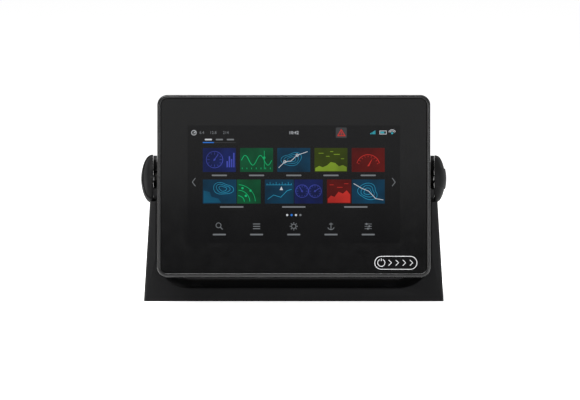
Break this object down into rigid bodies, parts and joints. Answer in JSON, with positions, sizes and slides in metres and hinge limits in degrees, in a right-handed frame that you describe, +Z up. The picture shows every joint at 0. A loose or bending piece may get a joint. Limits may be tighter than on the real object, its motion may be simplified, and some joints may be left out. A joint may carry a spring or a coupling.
{
  "type": "marine multifunction display",
  "caption": "Marine chartplotter display on a trunnion bracket: flush glass front, finned back, side knobs that clamp its tilt, and a hinged card door.",
  "frame": {"origin": "underside of the bracket's base, at the centre of its four fixing holes", "axes": "+Z up from the mounting surface, +X along the tilt axis to the viewer's right, the screen faces -Y"},
  "size_m": [0.2228, 0.1086, 0.1513],
  "materials": {
    "case_plastic": "fine moulded grain, matt",
    "bezel_plastic": "satin rim",
    "bracket_plastic": "fine moulded grain, matt",
    "knob_plastic": "satin",
    "screen_glass": "gloss, printed black behind, with the lit screen showing through",
    "clear_bond": "clear",
    "panel_glass": "smooth",
    "rubber": "matt",
    "aluminium": "as rolled",
    "sink_aluminium": "die cast, black coated",
    "steel": "stainless",
    "nickel": "nickel plated",
    "brass": "turned",
    "board_green": "solder mask",
    "chip_black": "moulded resin",
    "ceramic": "fired",
    "film": "polyimide",
    "pad": "soft, filled silicone",
    "connector_black": "glass filled nylon",
    "nylon": "natural nylon"
  },
  "bodies": {
    "bracket": {"trunnion_bracket": "bracket_plastic"},
    "display": {"front_bezel": "bezel_plastic", "cover_glass": "screen_glass", "glass_adhesive": "rubber", "optical_bond": "clear_bond", "lcd_panel": "panel_glass", "backlight_tray": "aluminium", "power_slide_sensor": "film", "front_chassis": "aluminium", "chassis_screws": "steel", "case_seal": "rubber", "rear_housing": "case_plastic", "case_screws": "steel", "heat_sink": "sink_aluminium", "heat_sink_seal": "rubber", "heat_sink_screws": "steel", "thermal_pad": "pad", "processor_shield": "nickel", "main_board": "board_green", "board_components": "chip_black", "board_screws": "steel", "gnss_antenna": "ceramic", "alarm_buzzer": "chip_black", "display_ribbon": "film", "power_connector": "connector_black", "network_connector": "connector_black", "transducer_connector": "connector_black", "connector_seals": "rubber", "connector_nuts": "nickel", "card_socket": "connector_black", "card_door_pin": "steel", "vent_plug": "connector_black", "left_insert": "brass", "right_insert": "brass"},
    "left_clamp": {"left_washer": "nylon"},
    "left_grip": {"left_knob": "knob_plastic", "left_stud": "steel"},
    "right_clamp": {"right_washer": "nylon"},
    "right_grip": {"right_knob": "knob_plastic", "right_stud": "steel"},
    "card_flap": {"card_door": "case_plastic", "card_door_seal": "rubber"}
  },
  "joints": [
    {"name": "display_tilt", "type": "hinge", "parent": "bracket", "child": "display", "pos_m": [0, -0.022, 0.08778], "axis": [-1, 0, 0], "range_deg": [-13, 60]},
    {"name": "left_clamp_slide", "type": "slide", "parent": "display", "child": "left_clamp", "axis": [-1, 0, 0], "range_m": [0, 0.00201]},
    {"name": "left_knob_turn", "type": "hinge", "parent": "left_clamp", "child": "left_grip", "pos_m": [-0.106, -0.022, 0.08778], "axis": [-1, 0, 0], "range_deg": [0, 720]},
    {"name": "right_clamp_slide", "type": "slide", "parent": "display", "child": "right_clamp", "axis": [1, 0, 0], "range_m": [0, 0.00201]},
    {"name": "right_knob_turn", "type": "hinge", "parent": "right_clamp", "child": "right_grip", "pos_m": [0.106, -0.022, 0.08778], "axis": [1, 0, 0], "range_deg": [0, 720]},
    {"name": "card_door_swing", "type": "hinge", "parent": "display", "child": "card_flap", "pos_m": [0.064, -0.00862, 0.08324], "axis": [-1, 0, 0], "range_deg": [0, 110]}
  ],
  "couplings": [
    {"joint": "left_clamp_slide", "follows": "left_knob_turn", "m_per_rad": 0.00015915},
    {"joint": "right_clamp_slide", "follows": "right_knob_turn", "m_per_rad": 0.00015915}
  ]
}
